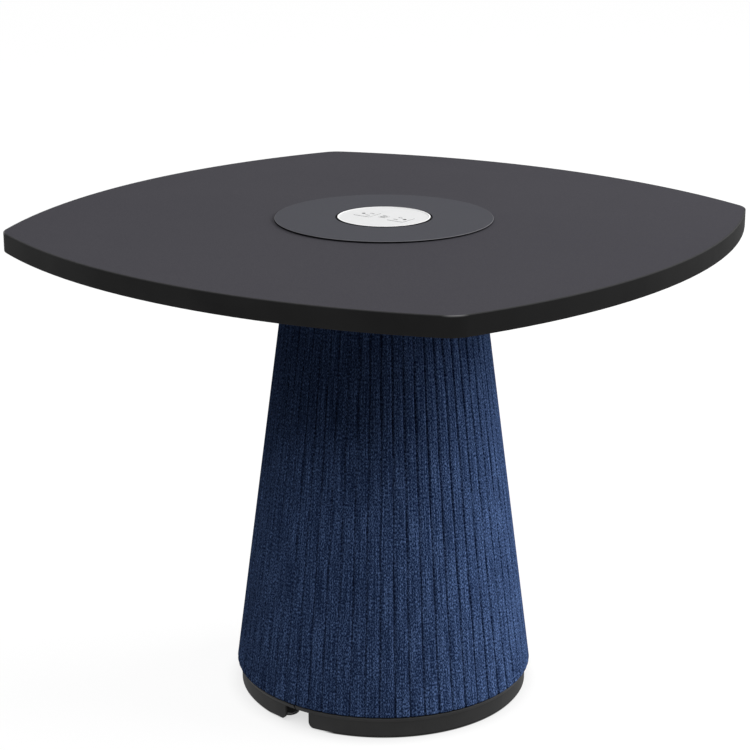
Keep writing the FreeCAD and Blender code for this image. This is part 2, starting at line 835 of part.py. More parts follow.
def case_floor():
    plate = cylinder(case_radius, case_floor_underside, case_floor_top)
    posts = [cylinder(board_post_radius, case_floor_top, board_underside, x, y) for x, y in board_post_places()]
    plate = join(plate, posts)
    window = block(inlet_length + 2 * fit, inlet_width + 2 * fit, case_floor_underside, case_floor_top)
    post_hole = cylinder(board_screw_diameter / 2 + fit, board_underside - board_screw_bite - slack, board_underside)
    post_holes = [moved(post_hole, x, y) for x, y in board_post_places()]
    return cut_away(plate, [window] + post_holes + case_screw_holes())


def charger_board():
    board = block(board_length, board_width, board_underside, board_underside + board_thickness)
    hole = cylinder(board_screw_diameter / 2 + fit, board_underside, board_underside + board_thickness)
    board = cut_away(board, [moved(hole, x, y) for x, y in board_post_places()])
    board_top = board_underside + board_thickness
    length, width, height = board_transformer
    transformer = block(length, width, board_top, board_top + height, *board_transformer_place)
    x, y = board_capacitor_place
    capacitors = [cylinder(board_capacitor_radius, board_top, board_top + board_capacitor_height,
                           x + k * board_capacitor_spacing, y) for k in range(2)]
    return Part.makeCompound([board, transformer] + capacitors)


def board_screws():
    screw = pan_screw(board_screw_diameter, board_thickness + board_screw_bite, board_screw_head_radius,
                      board_screw_head_height)
    height = board_underside + board_thickness + board_screw_head_height
    return Part.makeCompound([moved(screw, x, y, height) for x, y in board_post_places()])


def inlet_roof():
    return case_floor_top + inlet_depth - inlet_wall


def lead_inlet():
    lip_low = case_floor_underside - inlet_lip_height
    body = block(inlet_length, inlet_width, case_floor_underside, case_floor_top + inlet_depth)
    lip = block(inlet_length + 2 * inlet_lip, inlet_width + 2 * inlet_lip, lip_low, case_floor_underside)
    hollow = block(inlet_length - 2 * inlet_wall, inlet_width - 2 * inlet_wall, lip_low, inlet_roof())
    return cut_away(join(body, [lip]), [hollow])


def inlet_pins():
    length, width, height = inlet_pin
    places = [(-inlet_pin_spacing, 0), (0, inlet_ground_pin_offset), (inlet_pin_spacing, 0)]
    return Part.makeCompound([block(length, width, inlet_roof() - height, inlet_roof(), x, y) for x, y in places])


def pieces():
    found = {
        "top_edge_band": top_edge_band(),
        "top_laminate": top_layer(top_face - laminate_thickness, top_face),
        "top_core": top_layer(top_underside + laminate_thickness, top_face - laminate_thickness),
        "top_backer": top_layer(top_underside, top_underside + laminate_thickness),
        "top_bolts": top_bolts(),
        "column_tube": column_tube(),
        "head_flange": head_flange(),
        "foot_flange": foot_flange(),
        "column_bolts": column_bolts(),
        "base_plate": base_plate(),
        "cable_grommet": cable_grommet(),
        "plinth_skirt": plinth_skirt(),
        "skirt_screws": skirt_screws(),
        "plinth_trim": plinth_trim(),
        "shell_panel": shell_panel(),
        "fabric_cover": fabric_cover(),
        "foot_rib": foot_rib(),
        "foot_rib_screws": foot_rib_screws(),
        "head_rib": head_rib(),
        "head_rib_screws": head_rib_screws(),
        "glide_nuts": glide_nuts(),
        "cover_disc": cover_disc(),
        "cover_carrier": cover_carrier(),
        "lock_ring": lock_ring(),
        "power_face": power_face(),
        "power_case": power_case(),
        "case_floor": case_floor(),
        "case_screws": case_screws(),
        "usb_insert": usb_insert(),
        "usb_tongues": usb_tongues(),
        "charger_board": charger_board(),
        "board_screws": board_screws(),
        "lead_inlet": lead_inlet(),
        "inlet_pins": inlet_pins(),
    }
    for number in range(glide_count):
        angle = glide_first_angle + 360 * number / glide_count
        found["glide_foot_%d" % (number + 1)] = glide_foot(angle)
        found["glide_stud_%d" % (number + 1)] = glide_stud(angle)
    outlet_pieces = {"outlet_shell": outlet_shell(), "outlet_shutter": outlet_shutter(),
                     "shutter_spring": shutter_spring(), "outlet_core": outlet_core(),
                     "outlet_contacts": outlet_contacts()}
    for name, shape in outlet_pieces.items():
        for side, placed in both_outlets(shape).items():
            found["%s_%s" % (name, side)] = placed
    return found


def main():
    os.makedirs("parts", exist_ok=True)
    for name, shape in pieces().items():
        if not shape.isValid():
            raise ValueError("invalid shape: " + name)
        shape.exportStep("parts/%s.step" % name)
        print(name, len(shape.Solids), round(shape.Volume))


main()
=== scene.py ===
import json
import math

import bpy
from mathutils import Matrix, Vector


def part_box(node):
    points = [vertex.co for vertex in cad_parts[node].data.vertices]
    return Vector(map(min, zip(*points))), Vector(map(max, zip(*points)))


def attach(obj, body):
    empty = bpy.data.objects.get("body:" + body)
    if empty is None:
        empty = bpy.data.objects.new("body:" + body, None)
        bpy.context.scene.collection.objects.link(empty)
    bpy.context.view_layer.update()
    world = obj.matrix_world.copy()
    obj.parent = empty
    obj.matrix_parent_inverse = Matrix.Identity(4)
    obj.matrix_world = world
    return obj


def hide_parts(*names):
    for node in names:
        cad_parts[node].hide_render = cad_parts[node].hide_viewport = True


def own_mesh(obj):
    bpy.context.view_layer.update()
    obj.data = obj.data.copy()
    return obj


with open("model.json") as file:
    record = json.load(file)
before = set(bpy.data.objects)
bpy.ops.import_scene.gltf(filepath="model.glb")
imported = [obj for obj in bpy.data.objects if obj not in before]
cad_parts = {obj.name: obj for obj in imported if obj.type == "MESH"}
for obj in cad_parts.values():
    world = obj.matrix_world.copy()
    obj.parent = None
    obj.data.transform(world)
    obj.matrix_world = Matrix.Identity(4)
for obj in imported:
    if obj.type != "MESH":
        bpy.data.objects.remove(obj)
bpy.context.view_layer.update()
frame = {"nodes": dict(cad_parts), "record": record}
scene = bpy.context.scene
print("frame loaded,", len(frame["nodes"]), "nodes")


# Heights and radii of the CAD pieces that the finishes follow, in metres

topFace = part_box("top_laminate")[1].z
edgePoints = frame["nodes"]["top_edge_band"].data.vertices
topReach = max(math.hypot(point.co.x, point.co.y) for point in edgePoints)
coverEdge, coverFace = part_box("cover_disc")[1].xz
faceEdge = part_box("power_face")[1].x
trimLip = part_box("plinth_trim")[1].z
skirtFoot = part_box("plinth_skirt")[0].z
skirtEdge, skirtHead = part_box("plinth_skirt")[1].xz
clothFoot, clothHead = (corner.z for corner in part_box("fabric_cover"))


# Small helpers for node trees

def addNode(tree, kind, inputs=None, **settings):
    node = tree.nodes.new(kind)
    for name, value in settings.items():
        setattr(node, name, value)
    for name, value in (inputs or {}).items():
        node.inputs[name].default_value = value
    return node


def link(tree, source, target):
    tree.links.new(source, target)


def mathNode(tree, operation, first, second=0.0, clamp=False):
    node = addNode(tree, "ShaderNodeMath", operation=operation, use_clamp=clamp)
    for socket, value in zip(node.inputs, (first, second)):
        if isinstance(value, (int, float)):
            socket.default_value = value
        else:
            link(tree, value, socket)
    return node.outputs[0]


def mixColours(tree, share, first, second):
    # a mix node's sockets 6 and 7 are its two colours, and its output 2 is their mix
    node = addNode(tree, "ShaderNodeMix", data_type="RGBA")
    sockets = (node.inputs["Factor"], node.inputs[6], node.inputs[7])
    for socket, value in zip(sockets, (share, first, second)):
        if isinstance(value, (int, float, tuple)):
            socket.default_value = value
        else:
            link(tree, value, socket)
    return node.outputs[2]


def rescale(tree, value, low, high, newLow=0.0, newHigh=1.0):
    node = addNode(tree, "ShaderNodeMapRange", {"From Min": low, "From Max": high,
                                                "To Min": newLow, "To Max": newHigh})
    link(tree, value, node.inputs["Value"])
    return node.outputs["Result"]


def opaque(colour):
    return (*colour, 1.0)


# Shared effects, each a group with its own inputs and outputs

def newGroup(name, inputs, outputs):
    group = bpy.data.node_groups.new(name, "ShaderNodeTree")
    for label, kind, value in inputs:
        socket = group.interface.new_socket(label, in_out="INPUT", socket_type=kind)
        if value is not None:
            socket.default_value = value
    for label, kind in outputs:
        group.interface.new_socket(label, in_out="OUTPUT", socket_type=kind)
    return group, group.nodes.new("NodeGroupInput"), group.nodes.new("NodeGroupOutput")


def spreadLevel(group, value, spread):
    # the part of a value within a spread of one half, drawn out to run from 0 to 1
    level = addNode(group, "ShaderNodeMapRange", interpolation_type="SMOOTHSTEP")
    link(group, value, level.inputs["Value"])
    link(group, mathNode(group, "SUBTRACT", 0.5, spread), level.inputs["From Min"])
    link(group, mathNode(group, "ADD", 0.5, spread), level.inputs["From Max"])
    return level.outputs["Result"]


def makeMottleGroup():
    # cloudy patches, from 0 to 1
    group, given, made = newGroup("mottle", [
        ("Vector", "NodeSocketVector", None), ("Scale", "NodeSocketFloat", 20.0),
        ("Detail", "NodeSocketFloat", 4.0), ("Spread", "NodeSocketFloat", 0.25)],
        [("Mask", "NodeSocketFloat")])
    noise = addNode(group, "ShaderNodeTexNoise", {"Roughness": 0.6})
    for label in ("Vector", "Scale", "Detail"):
        link(group, given.outputs[label], noise.inputs[label])
    link(group, spreadLevel(group, noise.outputs["Fac"], given.outputs["Spread"]), made.inputs["Mask"])
    return group


def makePebbleGroup():
    # fine moulded or sprayed skin: a height and the mask of its pits
    group, given, made = newGroup("pebble", [
        ("Vector", "NodeSocketVector", None), ("Scale", "NodeSocketFloat", 900.0),
        ("Softness", "NodeSocketFloat", 0.5)],
        [("Height", "NodeSocketFloat"), ("Pits", "NodeSocketFloat")])
    cells = addNode(group, "ShaderNodeTexVoronoi", feature="SMOOTH_F1")
    link(group, given.outputs["Vector"], cells.inputs["Vector"])
    link(group, given.outputs["Scale"], cells.inputs["Scale"])
    link(group, given.outputs["Softness"], cells.inputs["Smoothness"])
    noise = addNode(group, "ShaderNodeTexNoise", {"Detail": 2.0})
    link(group, given.outputs["Vector"], noise.inputs["Vector"])
    link(group, given.outputs["Scale"], noise.inputs["Scale"])
    height = mathNode(group, "ADD", cells.outputs["Distance"], noise.outputs["Fac"])
    link(group, height, made.inputs["Height"])
    link(group, rescale(group, cells.outputs["Distance"], low=0.1, high=0.6), made.inputs["Pits"])
    return group


def makeScuffGroup():
    # thin wandering rub marks, from 0 to 1
    group, given, made = newGroup("scuffs", [
        ("Vector", "NodeSocketVector", None), ("Scale", "NodeSocketFloat", 30.0),
        ("Width", "NodeSocketFloat", 0.02)],
        [("Mask", "NodeSocketFloat")])
    stretch = addNode(group, "ShaderNodeMapping", {"Rotation": (0.2, 0.5, 0.7), "Scale": (1.0, 6.0, 2.0)})
    link(group, given.outputs["Vector"], stretch.inputs["Vector"])
    noise = addNode(group, "ShaderNodeTexNoise", {"Detail": 3.0, "Distortion": 0.6})
    link(group, stretch.outputs["Vector"], noise.inputs["Vector"])
    link(group, given.outputs["Scale"], noise.inputs["Scale"])
    away = mathNode(group, "ABSOLUTE", mathNode(group, "SUBTRACT", noise.outputs["Fac"], 0.5))
    away = mathNode(group, "DIVIDE", away, given.outputs["Width"])
    line = mathNode(group, "SUBTRACT", 1.0, away, clamp=True)
    patches = addNode(group, "ShaderNodeTexNoise", {"Scale": 9.0, "Detail": 2.0})
    link(group, given.outputs["Vector"], patches.inputs["Vector"])
    worn = rescale(group, patches.outputs["Fac"], low=0.48, high=0.66)
    link(group, mathNode(group, "MULTIPLY", line, worn), made.inputs["Mask"])
    return group


def makeDustGroup():
    # settled dust: more on faces that look up
    group, given, made = newGroup("dust", [
        ("Vector", "NodeSocketVector", None), ("Amount", "NodeSocketFloat", 0.1)],
        [("Mask", "NodeSocketFloat")])
    facing = addNode(group, "ShaderNodeSeparateXYZ")
    link(group, addNode(group, "ShaderNodeNewGeometry").outputs["Normal"], facing.inputs[0])
    specks = addNode(group, "ShaderNodeTexNoise", {"Scale": 420.0, "Detail": 5.0, "Roughness": 0.75})
    link(group, given.outputs["Vector"], specks.inputs["Vector"])
    upward = rescale(group, facing.outputs["Z"], low=0.2, high=0.95)
    fall = mathNode(group, "MULTIPLY", upward, rescale(group, specks.outputs["Fac"], low=0.42, high=0.75))
    link(group, mathNode(group, "MULTIPLY", fall, given.outputs["Amount"], clamp=True), made.inputs["Mask"])
    return group


def makeStreakGroup():
    # fine lines drawn along one direction, for brushed metal, wood grain and combed cloth
    group, given, made = newGroup("streaks", [
        ("Vector", "NodeSocketVector", None), ("Stretch", "NodeSocketVector", (1.0, 1.0, 1.0)),
        ("Scale", "NodeSocketFloat", 100.0), ("Spread", "NodeSocketFloat", 0.25)],
        [("Mask", "NodeSocketFloat")])
    drawn = addNode(group, "ShaderNodeVectorMath", operation="MULTIPLY")
    link(group, given.outputs["Vector"], drawn.inputs[0])
    link(group, given.outputs["Stretch"], drawn.inputs[1])
    noise = addNode(group, "ShaderNodeTexNoise", {"Detail": 5.0, "Roughness": 0.65})
    link(group, drawn.outputs[0], noise.inputs["Vector"])
    link(group, given.outputs["Scale"], noise.inputs["Scale"])
    link(group, spreadLevel(group, noise.outputs["Fac"], given.outputs["Spread"]), made.inputs["Mask"])
    return group


def makeZoneGroup():
    # where a piece lies between two radii and two heights, and within Across of the middle in X:
    # from 0 to 1, soft at its limits, and a limit that isn't given lies clear of the table
    group, given, made = newGroup("zone", [
        ("Vector", "NodeSocketVector", None),
        ("Inner", "NodeSocketFloat", -1.0), ("Outer", "NodeSocketFloat", 9.0),
        ("Low", "NodeSocketFloat", -1.0), ("High", "NodeSocketFloat", 9.0),
        ("Across", "NodeSocketFloat", 9.0), ("Soft", "NodeSocketFloat", 0.0003)],
        [("Mask", "NodeSocketFloat")])
    flat = addNode(group, "ShaderNodeVectorMath", {1: (1.0, 1.0, 0.0)}, operation="MULTIPLY")
    link(group, given.outputs["Vector"], flat.inputs[0])
    radius = addNode(group, "ShaderNodeVectorMath", operation="LENGTH")
    link(group, flat.outputs[0], radius.inputs[0])
    parts = addNode(group, "ShaderNodeSeparateXYZ")
    link(group, given.outputs["Vector"], parts.inputs[0])
    reach, height = radius.outputs["Value"], parts.outputs["Z"]
    across = mathNode(group, "ABSOLUTE", parts.outputs["X"])
    limits = given.outputs
    mask = 1.0
    for larger, smaller in ((reach, limits["Inner"]), (limits["Outer"], reach), (height, limits["Low"]),
                            (limits["High"], height), (limits["Across"], across)):
        inside = mathNode(group, "SUBTRACT", larger, smaller)
        inside = mathNode(group, "DIVIDE", inside, limits["Soft"], clamp=True)
        mask = mathNode(group, "MULTIPLY", inside, mask)
    link(group, mask, made.inputs["Mask"])
    return group


def makeFacingGroup():
    # faces that look along a direction, or across it when From is the larger, from 0 to 1
    group, given, made = newGroup("facing", [
        ("Vector", "NodeSocketVector", (0.0, 0.0, 1.0)), ("From", "NodeSocketFloat", 0.5),
        ("To", "NodeSocketFloat", 0.9)],
        [("Mask", "NodeSocketFloat")])
    along = addNode(group, "ShaderNodeVectorMath", operation="DOT_PRODUCT")
    link(group, addNode(group, "ShaderNodeNewGeometry").outputs["Normal"], along.inputs[0])
    link(group, given.outputs["Vector"], along.inputs[1])
    level = addNode(group, "ShaderNodeMapRange")
    link(group, mathNode(group, "ABSOLUTE", along.outputs["Value"]), level.inputs["Value"])
    link(group, given.outputs["From"], level.inputs["From Min"])
    link(group, given.outputs["To"], level.inputs["From Max"])
    link(group, level.outputs["Result"], made.inputs["Mask"])
    return group


effects = {
    "mottle": makeMottleGroup(), "pebble": makePebbleGroup(), "scuffs": makeScuffGroup(),
    "dust": makeDustGroup(), "streaks": makeStreakGroup(), "zone": makeZoneGroup(),
    "facing": makeFacingGroup()}
print("shared effects:", ", ".join(effects))


def useEffect(tree, name, place, values):
    node = addNode(tree, "ShaderNodeGroup", node_tree=effects[name])
    if place is not None:
        link(tree, place, node.inputs["Vector"])
    for label, value in values.items():
        node.inputs[label].default_value = value
    return node.outputs


def startMaterial(name, **fixed):
    material = bpy.data.materials.new(name)
    material.use_nodes = True
    tree = material.node_tree
    shader = tree.nodes["Principled BSDF"]
    for label, value in fixed.items():
        shader.inputs[label.replace("_", " ")].default_value = value
    place = addNode(tree, "ShaderNodeTexCoord").outputs["Object"]
    return material, tree, shader, place


def addBump(tree, shader, height, distance, strength=1.0):
    bump = addNode(tree, "ShaderNodeBump", {"Strength": strength, "Distance": distance})
    link(tree, height, bump.inputs["Height"])
    link(tree, bump.outputs["Normal"], shader.inputs["Normal"])


def sprayedFinish(name, look):
    # painted, laminated and moulded surfaces share this build-up with their own values
    material, tree, shader, place = startMaterial(name, **look["fixed"])
    patches = useEffect(tree, "mottle", place, {"Scale": look["patchScale"], "Spread": 0.3})["Mask"]
    skin = useEffect(tree, "pebble", place, {"Scale": look["skinScale"]})
    scuffs = useEffect(tree, "scuffs", place, {"Scale": look["scuffScale"], "Width": 0.012})["Mask"]
    dust = useEffect(tree, "dust", place, {"Amount": look["dust"]})["Mask"]
    colour = mixColours(tree, patches, opaque(look["colour"]), opaque(look["patchColour"]))
    colour = mixColours(tree, mathNode(tree, "MULTIPLY", skin["Pits"], look["pitShare"]), colour,
                        opaque(look["pitColour"]))
    colour = mixColours(tree, mathNode(tree, "MULTIPLY", scuffs, look["scuffShare"]), colour,
                        opaque(look["scuffColour"]))
    colour = mixColours(tree, dust, colour, opaque(look["dustColour"]))
    dull = 0.0
    # each zone paints its colour over part of a piece; most zones are painted highlight and painted shade
    for zone in look.get("zones", ()):
        inside = useEffect(tree, "zone", place, zone["where"])["Mask"]
        part = mathNode(tree, "MULTIPLY", inside, zone["share"])
        if "facing" in zone:
            turned = useEffect(tree, "facing", None, zone["facing"])["Mask"]
            part = mathNode(tree, "MULTIPLY", part, turned)
        if zone.get("dull"):
            dull = mathNode(tree, "MAXIMUM", part, dull)
        colour = mixColours(tree, part, colour, opaque(zone["colour"]))
    # painted shade: the colour goes dark where ambient occlusion finds a narrow gap
    if "creviceShade" in look:
        creviceShade = look["creviceShade"]
        closed = addNode(tree, "ShaderNodeAmbientOcclusion", {"Distance": creviceShade["reach"]}, samples=8)
        part = rescale(tree, closed.outputs["AO"], creviceShade["open"], creviceShade["shut"])
        dull = mathNode(tree, "MAXIMUM", part, dull)
        colour = mixColours(tree, part, colour, opaque(creviceShade["colour"]))
    link(tree, colour, shader.inputs["Base Color"])
    rough = rescale(tree, patches, 0.0, 1.0, look["roughLow"], look["roughHigh"])
    rough = mathNode(tree, "ADD", rough, mathNode(tree, "MULTIPLY", scuffs, look["scuffGloss"]), clamp=True)
    if dull:
        rough = mathNode(tree, "MAXIMUM", rough, dull)
    link(tree, rough, shader.inputs["Roughness"])
    addBump(tree, shader, skin["Height"], look["skinDepth"])
    return material


# Finishes of the top

topLook = {
    "fixed": {"Specular_IOR_Level": 0.015},
    "colour": (0.0615, 0.0595, 0.069), "patchColour": (0.0645, 0.0625, 0.0725), "patchScale": 3.5,
    "skinScale": 620.0, "skinDepth": 0.00005, "pitShare": 0.4, "pitColour": (0.034, 0.033, 0.04),
    "scuffScale": 14.0, "scuffShare": 0.06, "scuffColour": (0.09, 0.09, 0.09), "scuffGloss": -0.04,
    "dust": 0.02, "dustColour": (0.2, 0.2, 0.2), "roughLow": 0.62, "roughHigh": 0.7}

edgeLook = {
    "fixed": {"Specular_IOR_Level": 0.28},
    "zones": [   # painted highlight along the upper arris, strongest at the corners
        {"where": {"Low": topFace - 0.0017, "Soft": 0.0008}, "colour": (0.06, 0.06, 0.062), "share": 0.5},
        {"where": {"Low": topFace - 0.0025, "Inner": topReach - 0.0035, "Soft": 0.003},
         "colour": (0.28, 0.28, 0.285), "share": 0.8}],
    "colour": (0.004, 0.004, 0.0041), "patchColour": (0.0052, 0.0052, 0.0053), "patchScale": 9.0,
    "skinScale": 1100.0, "skinDepth": 0.00004, "pitShare": 0.2, "pitColour": (0.003, 0.003, 0.003),
    "scuffScale": 22.0, "scuffShare": 0.06, "scuffColour": (0.04, 0.04, 0.04), "scuffGloss": 0.05,
    "dust": 0.03, "dustColour": (0.15, 0.15, 0.15), "roughLow": 0.84, "roughHigh": 0.94}

coverLook = {
    "fixed": {"Specular_IOR_Level": 0.01},
    "zones": [   # painted highlight on the upper arris, painted shadow on the lower edge, painted shade beside the hole
        {"where": {"Inner": coverEdge - 0.001, "Low": coverFace - 0.0008},
         "colour": (0.18, 0.18, 0.19), "share": 0.6},
        {"where": {"Inner": coverEdge - 0.0018, "High": coverFace - 0.0007},
         "colour": (0.002, 0.002, 0.002), "share": 1.0, "dull": True},
        {"where": {"Outer": faceEdge + 0.003},
         "colour": (0.004, 0.004, 0.0045), "share": 1.0, "dull": True}],
    "colour": (0.0735, 0.0745, 0.0855), "patchColour": (0.0775, 0.0785, 0.09), "patchScale": 6.0,
    "skinScale": 1700.0, "skinDepth": 0.00004, "pitShare": 0.2, "pitColour": (0.045, 0.045, 0.054),
    "scuffScale": 26.0, "scuffShare": 0.05, "scuffColour": (0.1, 0.1, 0.105), "scuffGloss": -0.05,
    "dust": 0.02, "dustColour": (0.22, 0.22, 0.23), "roughLow": 0.58, "roughHigh": 0.66}

backerLook = {
    "fixed": {"Specular_IOR_Level": 0.3},
    "colour": (0.03, 0.029, 0.028), "patchColour": (0.036, 0.035, 0.034), "patchScale": 5.0,
    "skinScale": 800.0, "skinDepth": 0.00006, "pitShare": 0.3, "pitColour": (0.018, 0.018, 0.017),
    "scuffScale": 18.0, "scuffShare": 0.12, "scuffColour": (0.1, 0.095, 0.09), "scuffGloss": 0.05,
    "dust": 0.0, "dustColour": (0.2, 0.2, 0.2), "roughLow": 0.55, "roughHigh": 0.7}


# Finishes of the plinth, glides and hidden steel

plinthLook = {
    "fixed": {"Specular_IOR_Level": 0.5},
    "zones": [   # painted highlight on the lip of the trim; painted shade on the step under it, the lower edge of the skirt and the cut ends
        {"where": {"Low": trimLip - 0.0022}, "colour": (0.1, 0.1, 0.1), "share": 0.55},
        {"where": {"Low": skirtHead - 0.0016, "High": skirtHead + 0.0006, "Soft": 0.0006},
         "colour": (0.006, 0.006, 0.006), "share": 0.45, "dull": True},
        {"where": {"High": skirtFoot + 0.0022, "Soft": 0.0008},
         "colour": (0.002, 0.002, 0.002), "share": 1.0, "dull": True},
        {"where": {"Across": 0.028}, "facing": {"Vector": (1.0, 0.0, 0.0)},
         "colour": (0.001, 0.001, 0.001), "share": 1.0, "dull": True}],
    # painted shade in narrow gaps, found by ambient occlusion
    "creviceShade": {"reach": 0.012, "open": 0.5, "shut": 0.2, "colour": (0.001, 0.001, 0.001)},
    "colour": (0.014, 0.014, 0.0143), "patchColour": (0.017, 0.017, 0.0173), "patchScale": 14.0,
    "skinScale": 1500.0, "skinDepth": 0.00005, "pitShare": 0.25, "pitColour": (0.01, 0.01, 0.01),
    "scuffScale": 30.0, "scuffShare": 0.15, "scuffColour": (0.12, 0.115, 0.11), "scuffGloss": 0.08,
    "dust": 0.05, "dustColour": (0.22, 0.21, 0.2), "roughLow": 0.74, "roughHigh": 0.84}

glideLook = {
    "fixed": {"Specular_IOR_Level": 0.1},
    "zones": [   # pale ring round the foot, just above the floor
        {"where": {"Low": 0.0032, "High": 0.0056, "Soft": 0.0004},
         "colour": (0.8, 0.8, 0.8), "share": 0.95}],
    "colour": (0.005, 0.005, 0.0052), "patchColour": (0.008, 0.008, 0.0083), "patchScale": 40.0,
    "skinScale": 1300.0, "skinDepth": 0.00006, "pitShare": 0.3, "pitColour": (0.003, 0.003, 0.003),
    "scuffScale": 60.0, "scuffShare": 0.15, "scuffColour": (0.06, 0.058, 0.055), "scuffGloss": 0.08,
    "dust": 0.02, "dustColour": (0.1, 0.1, 0.1), "roughLow": 0.45, "roughHigh": 0.58}

steelPaintLook = {
    "fixed": {"Specular_IOR_Level": 0.12},
    "colour": (0.01, 0.01, 0.0105), "patchColour": (0.014, 0.014, 0.0145), "patchScale": 11.0,
    "skinScale": 900.0, "skinDepth": 0.00009, "pitShare": 0.3, "pitColour": (0.006, 0.006, 0.006),
    "scuffScale": 20.0, "scuffShare": 0.2, "scuffColour": (0.2, 0.2, 0.2), "scuffGloss": -0.06,
    "dust": 0.03, "dustColour": (0.2, 0.2, 0.19), "roughLow": 0.4, "roughHigh": 0.55}

rubberLook = {
    "fixed": {"Specular_IOR_Level": 0.3},
    "colour": (0.018, 0.018, 0.018), "patchColour": (0.026, 0.026, 0.026), "patchScale": 30.0,
    "skinScale": 1000.0, "skinDepth": 0.00008, "pitShare": 0.3, "pitColour": (0.01, 0.01, 0.01),
    "scuffScale": 50.0, "scuffShare": 0.15, "scuffColour": (0.08, 0.08, 0.08), "scuffGloss": 0.05,
    "dust": 0.1, "dustColour": (0.18, 0.18, 0.17), "roughLow": 0.6, "roughHigh": 0.75}


# Finishes of the power unit

faceLook = {
    "fixed": {"Specular_IOR_Level": 0.06},
    "zones": [   # painted shade on the sides of the outlets, painted highlight on the rim, painted shade outside the rim
        {"where": {"Outer": faceEdge - 0.0172, "Low": coverFace - 0.0015},
         "facing": {"From": 0.9, "To": 0.5}, "colour": (0.06, 0.06, 0.06), "share": 0.7},
        {"where": {"Inner": faceEdge - 0.0026}, "colour": (0.97, 0.97, 0.97), "share": 1.0},
        {"where": {"Inner": faceEdge - 0.0004, "Soft": 0.0002},
         "colour": (0.004, 0.004, 0.0045), "share": 1.0, "dull": True}],
    "colour": (0.755, 0.758, 0.762), "patchColour": (0.775, 0.777, 0.78), "patchScale": 30.0,
    "skinScale": 2600.0, "skinDepth": 0.00003, "pitShare": 0.06, "pitColour": (0.6, 0.6, 0.6),
    "scuffScale": 70.0, "scuffShare": 0.05, "scuffColour": (0.6, 0.6, 0.6), "scuffGloss": -0.05,
    "dust": 0.04, "dustColour": (0.6, 0.59, 0.57), "roughLow": 0.34, "roughHigh": 0.42}

caseLook = {
    "fixed": {"Specular_IOR_Level": 0.45},
    "colour": (0.02, 0.02, 0.021), "patchColour": (0.026, 0.026, 0.027), "patchScale": 25.0,
    "skinScale": 1800.0, "skinDepth": 0.00006, "pitShare": 0.3, "pitColour": (0.01, 0.01, 0.01),
    "scuffScale": 50.0, "scuffShare": 0.1, "scuffColour": (0.1, 0.1, 0.1), "scuffGloss": -0.04,
    "dust": 0.05, "dustColour": (0.2, 0.2, 0.2), "roughLow": 0.4, "roughHigh": 0.5}


def bareMetal(name, look):
    material, tree, shader, place = startMaterial(name, Metallic=1.0)
    lines = useEffect(tree, "streaks", place, look["lines"])["Mask"]
    bloom = useEffect(tree, "mottle", place, {"Scale": look["bloomScale"], "Spread": 0.2})["Mask"]
    colour = mixColours(tree, bloom, opaque(look["colour"]), opaque(look["bloomColour"]))
    drawn = mathNode(tree, "MULTIPLY", lines, look["lineShare"])
    colour = mixColours(tree, drawn, colour, opaque(look["lineColour"]))
    link(tree, colour, shader.inputs["Base Color"])
    rough = rescale(tree, bloom, 0.0, 1.0, look["roughLow"], look["roughHigh"])
    link(tree, rough, shader.inputs["Roughness"])
    addBump(tree, shader, lines, look["lineDepth"])
    return material


zincLook = {"colour": (0.58, 0.59, 0.6), "bloomColour": (0.48, 0.49, 0.5), "lineColour": (0.38, 0.38, 0.39),
            "bloomScale": 60.0, "lines": {"Stretch": (1.0, 1.0, 8.0), "Scale": 150.0}, "lineShare": 0.25,
            "lineDepth": 0.00003, "roughLow": 0.28, "roughHigh": 0.42}
springLook = {"colour": (0.5, 0.5, 0.5), "bloomColour": (0.42, 0.42, 0.43), "lineColour": (0.3, 0.3, 0.3),
              "bloomScale": 120.0, "lines": {"Stretch": (1.0, 6.0, 6.0), "Scale": 400.0}, "lineShare": 0.25,
              "lineDepth": 0.00001, "roughLow": 0.22, "roughHigh": 0.34}
brassLook = {"colour": (0.72, 0.5, 0.2), "bloomColour": (0.6, 0.4, 0.16), "lineColour": (0.42, 0.28, 0.1),
             "bloomScale": 140.0, "lines": {"Stretch": (1.0, 1.0, 7.0), "Scale": 350.0}, "lineShare": 0.25,
             "lineDepth": 0.00001, "roughLow": 0.24, "roughHigh": 0.36}

plyLook = {"veneer": (0.5, 0.34, 0.2), "veneerDark": (0.4, 0.26, 0.14), "crossPly": (0.3, 0.18, 0.095),
           "plyThickness": 0.0015, "grain": {"Stretch": (4.0, 60.0, 4.0), "Scale": 9.0},
           "grainDepth": 0.00008, "fixed": {"Roughness": 0.62, "Specular_IOR_Level": 0.35}}


def plywoodFinish():
    look = plyLook
    material, tree, shader, place = startMaterial("plywood", **look["fixed"])
    grain = useEffect(tree, "streaks", place, look["grain"])["Mask"]
    colour = mixColours(tree, grain, opaque(look["veneer"]), opaque(look["veneerDark"]))
    height = addNode(tree, "ShaderNodeSeparateXYZ")
    link(tree, place, height.inputs[0])
    ply = mathNode(tree, "PINGPONG", height.outputs["Z"], look["plyThickness"])
    layers = mathNode(tree, "GREATER_THAN", ply, look["plyThickness"] / 2)
    facing = addNode(tree, "ShaderNodeSeparateXYZ")
    link(tree, addNode(tree, "ShaderNodeNewGeometry").outputs["Normal"], facing.inputs[0])
    side = mathNode(tree, "SUBTRACT", 1.0, mathNode(tree, "ABSOLUTE", facing.outputs["Z"]))
    cutEdge = rescale(tree, side, low=0.3, high=0.7)
    shown = mathNode(tree, "MULTIPLY", layers, cutEdge)
    link(tree, mixColours(tree, shown, colour, opaque(look["crossPly"])), shader.inputs["Base Color"])
    addBump(tree, shader, grain, look["grainDepth"])
    return material


boardLook = {"fibre": (0.34, 0.23, 0.13), "fibreDark": (0.22, 0.14, 0.08),
             "chips": {"Scale": 260.0, "Detail": 6.0, "Spread": 0.18}, "chipDepth": 0.00012,
             "fixed": {"Roughness": 0.8, "Specular_IOR_Level": 0.25}}


